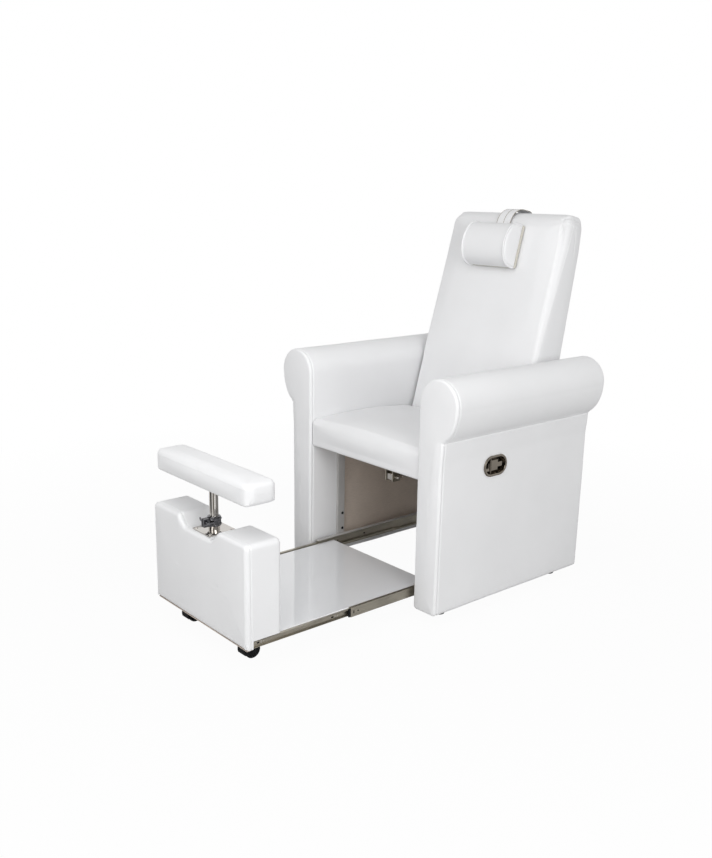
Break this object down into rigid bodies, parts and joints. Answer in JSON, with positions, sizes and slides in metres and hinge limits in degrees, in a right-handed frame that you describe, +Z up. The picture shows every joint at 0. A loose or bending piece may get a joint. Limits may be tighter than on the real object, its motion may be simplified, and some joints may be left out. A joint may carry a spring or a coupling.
{
  "type": "podiatry chair",
  "caption": "White upholstered podiatry chair with rolled arms, reclining back with headrest pillow, and a pull-out foot box on casters that carries an adjustable foot rest.",
  "frame": {"origin": "on the floor under the centre of the bounding box, with the foot rest drawer pulled out", "axes": "+Z up, -Y the way the sitter faces, +X towards the sitter's left"},
  "size_m": [0.802, 1.314, 1.1911],
  "materials": {
    "white_leather": "white faux leather, fine grain",
    "white_laminate": "gloss white laminate",
    "plywood": "raw board",
    "zinc_steel": "zinc plated sheet steel",
    "chrome": "polished chrome",
    "painted_steel": "light grey paint",
    "black_steel": "satin black paint",
    "black_plastic": "moulded black",
    "black_rubber": "black rubber"
  },
  "bodies": {
    "chair": {"left_arm": "white_leather", "right_arm": "white_leather", "left_inner_board": "plywood", "right_inner_board": "plywood", "left_front_upright": "painted_steel", "left_rear_upright": "painted_steel", "right_front_upright": "painted_steel", "right_rear_upright": "painted_steel", "left_runner_angle": "painted_steel", "right_runner_angle": "painted_steel", "left_outer_slide": "zinc_steel", "right_outer_slide": "zinc_steel", "seat_cushion": "white_leather", "seat_board": "plywood", "front_cross_tube": "painted_steel", "rear_cross_tube": "painted_steel", "rear_panel": "white_leather", "left_front_foot": "black_plastic", "left_rear_foot": "black_plastic", "right_front_foot": "black_plastic", "right_rear_foot": "black_plastic", "handle_cup": "chrome", "paddle_pin": "zinc_steel", "release_cable": "black_rubber", "gas_spring_bracket": "zinc_steel", "gas_spring_pin": "zinc_steel", "left_hinge_bracket": "zinc_steel", "right_hinge_bracket": "zinc_steel"},
    "left_slide": {"left_middle_slide": "zinc_steel"},
    "right_slide": {"right_middle_slide": "zinc_steel"},
    "drawer": {"drawer_board": "white_laminate", "foot_box": "white_leather", "left_inner_slide": "zinc_steel", "right_inner_slide": "zinc_steel", "footrest_socket": "chrome", "clamp_collar": "chrome", "left_caster_plate": "zinc_steel", "right_caster_plate": "zinc_steel"},
    "clamp": {"clamp_handle": "chrome"},
    "lift": {"footrest_post": "chrome"},
    "foot_rest": {"pad_plate": "black_steel", "foot_pad": "white_leather"},
    "backrest": {"backrest_cushion": "white_leather", "backrest_rear_panel": "white_leather", "backrest_lever": "zinc_steel", "left_hinge_plate": "zinc_steel", "right_hinge_plate": "zinc_steel", "headrest_strap": "white_leather"},
    "pillow": {"headrest_pillow": "white_leather"},
    "counterweight": {"headrest_counterweight": "white_leather"},
    "gas_rod": {"gas_spring_rod": "zinc_steel"},
    "gas_cylinder": {"gas_spring_cylinder": "black_steel"},
    "paddle": {"release_paddle": "chrome"},
    "left_caster": {"left_caster_hood": "black_plastic"},
    "right_caster": {"right_caster_hood": "black_plastic"},
    "left_wheel_inner": {"left_inner_wheel": "black_rubber"},
    "left_wheel_outer": {"left_outer_wheel": "black_rubber"},
    "right_wheel_inner": {"right_inner_wheel": "black_rubber"},
    "right_wheel_outer": {"right_outer_wheel": "black_rubber"}
  },
  "joints": [
    {"name": "drawer_slide", "type": "slide", "parent": "chair", "child": "drawer", "axis": [0, -1, 0], "range_m": [-0.45, 0]},
    {"name": "left_slide_run", "type": "slide", "parent": "chair", "child": "left_slide", "axis": [0, -1, 0], "range_m": [-0.226, 0]},
    {"name": "right_slide_run", "type": "slide", "parent": "chair", "child": "right_slide", "axis": [0, -1, 0], "range_m": [-0.226, 0]},
    {"name": "clamp_turn", "type": "hinge", "parent": "drawer", "child": "clamp", "pos_m": [0, -0.62597, 0.3553], "axis": [1, 0, 0], "range_deg": [0, 270]},
    {"name": "foot_rest_lift", "type": "slide", "parent": "drawer", "child": "lift", "axis": [0, 0, 1], "range_m": [-0.075, 0.1]},
    {"name": "foot_rest_swivel", "type": "hinge", "parent": "lift", "child": "foot_rest", "pos_m": [0, -0.59697, 0.46], "axis": [0, 0, 1], "range_deg": [-180, 180]},
    {"name": "recline", "type": "hinge", "parent": "chair", "child": "backrest", "pos_m": [0, 0.46503, 0.47], "axis": [-1, 0, 0], "range_deg": [0, 35]},
    {"name": "pillow_slide", "type": "slide", "parent": "backrest", "child": "pillow", "axis": [0, 0.2588, 0.9659], "range_m": [-0.14, 0.01]},
    {"name": "counterweight_slide", "type": "slide", "parent": "backrest", "child": "counterweight", "axis": [0, 0.1771, 0.9842], "range_m": [-0.011, 0.141]},
    {"name": "gas_spring_swing", "type": "hinge", "parent": "chair", "child": "gas_rod", "pos_m": [0, 0.07503, 0.362], "axis": [1, 0, 0], "range_deg": [-0.5, 1]},
    {"name": "gas_spring_stroke", "type": "slide", "parent": "gas_rod", "child": "gas_cylinder", "axis": [0, 0.9993, 0.0363], "range_m": [-0.06, 0.001]},
    {"name": "release_turn", "type": "hinge", "parent": "chair", "child": "paddle", "pos_m": [0.3388, 0.15403, 0.46], "axis": [0, 0, -1], "range_deg": [0, 25], "stiffness_Nm_per_rad": 0.3, "springref_deg": -8.59},
    {"name": "left_caster_swivel", "type": "hinge", "parent": "drawer", "child": "left_caster", "pos_m": [0.148, -0.59997, 0.024], "axis": [0, 0, 1], "continuous": true},
    {"name": "left_inner_wheel_spin", "type": "hinge", "parent": "left_caster", "child": "left_wheel_inner", "pos_m": [0.148, -0.58397, 0.024], "axis": [1, 0, 0], "continuous": true},
    {"name": "left_outer_wheel_spin", "type": "hinge", "parent": "left_caster", "child": "left_wheel_outer", "pos_m": [0.148, -0.58397, 0.024], "axis": [1, 0, 0], "continuous": true},
    {"name": "right_caster_swivel", "type": "hinge", "parent": "drawer", "child": "right_caster", "pos_m": [-0.148, -0.59997, 0.024], "axis": [0, 0, 1], "continuous": true},
    {"name": "right_inner_wheel_spin", "type": "hinge", "parent": "right_caster", "child": "right_wheel_inner", "pos_m": [-0.148, -0.58397, 0.024], "axis": [1, 0, 0], "continuous": true},
    {"name": "right_outer_wheel_spin", "type": "hinge", "parent": "right_caster", "child": "right_wheel_outer", "pos_m": [-0.148, -0.58397, 0.024], "axis": [1, 0, 0], "continuous": true}
  ],
  "couplings": [
    {"joint": "left_slide_run", "follows": "drawer_slide", "ratio": 0.5},
    {"joint": "right_slide_run", "follows": "drawer_slide", "ratio": 0.5},
    {"joint": "counterweight_slide", "follows": "pillow_slide", "ratio": -1},
    {"joint": "gas_spring_swing", "follows": "recline", "ratio": 0.00916},
    {"joint": "gas_spring_stroke", "follows": "recline", "m_per_rad": -0.09343}
  ]
}
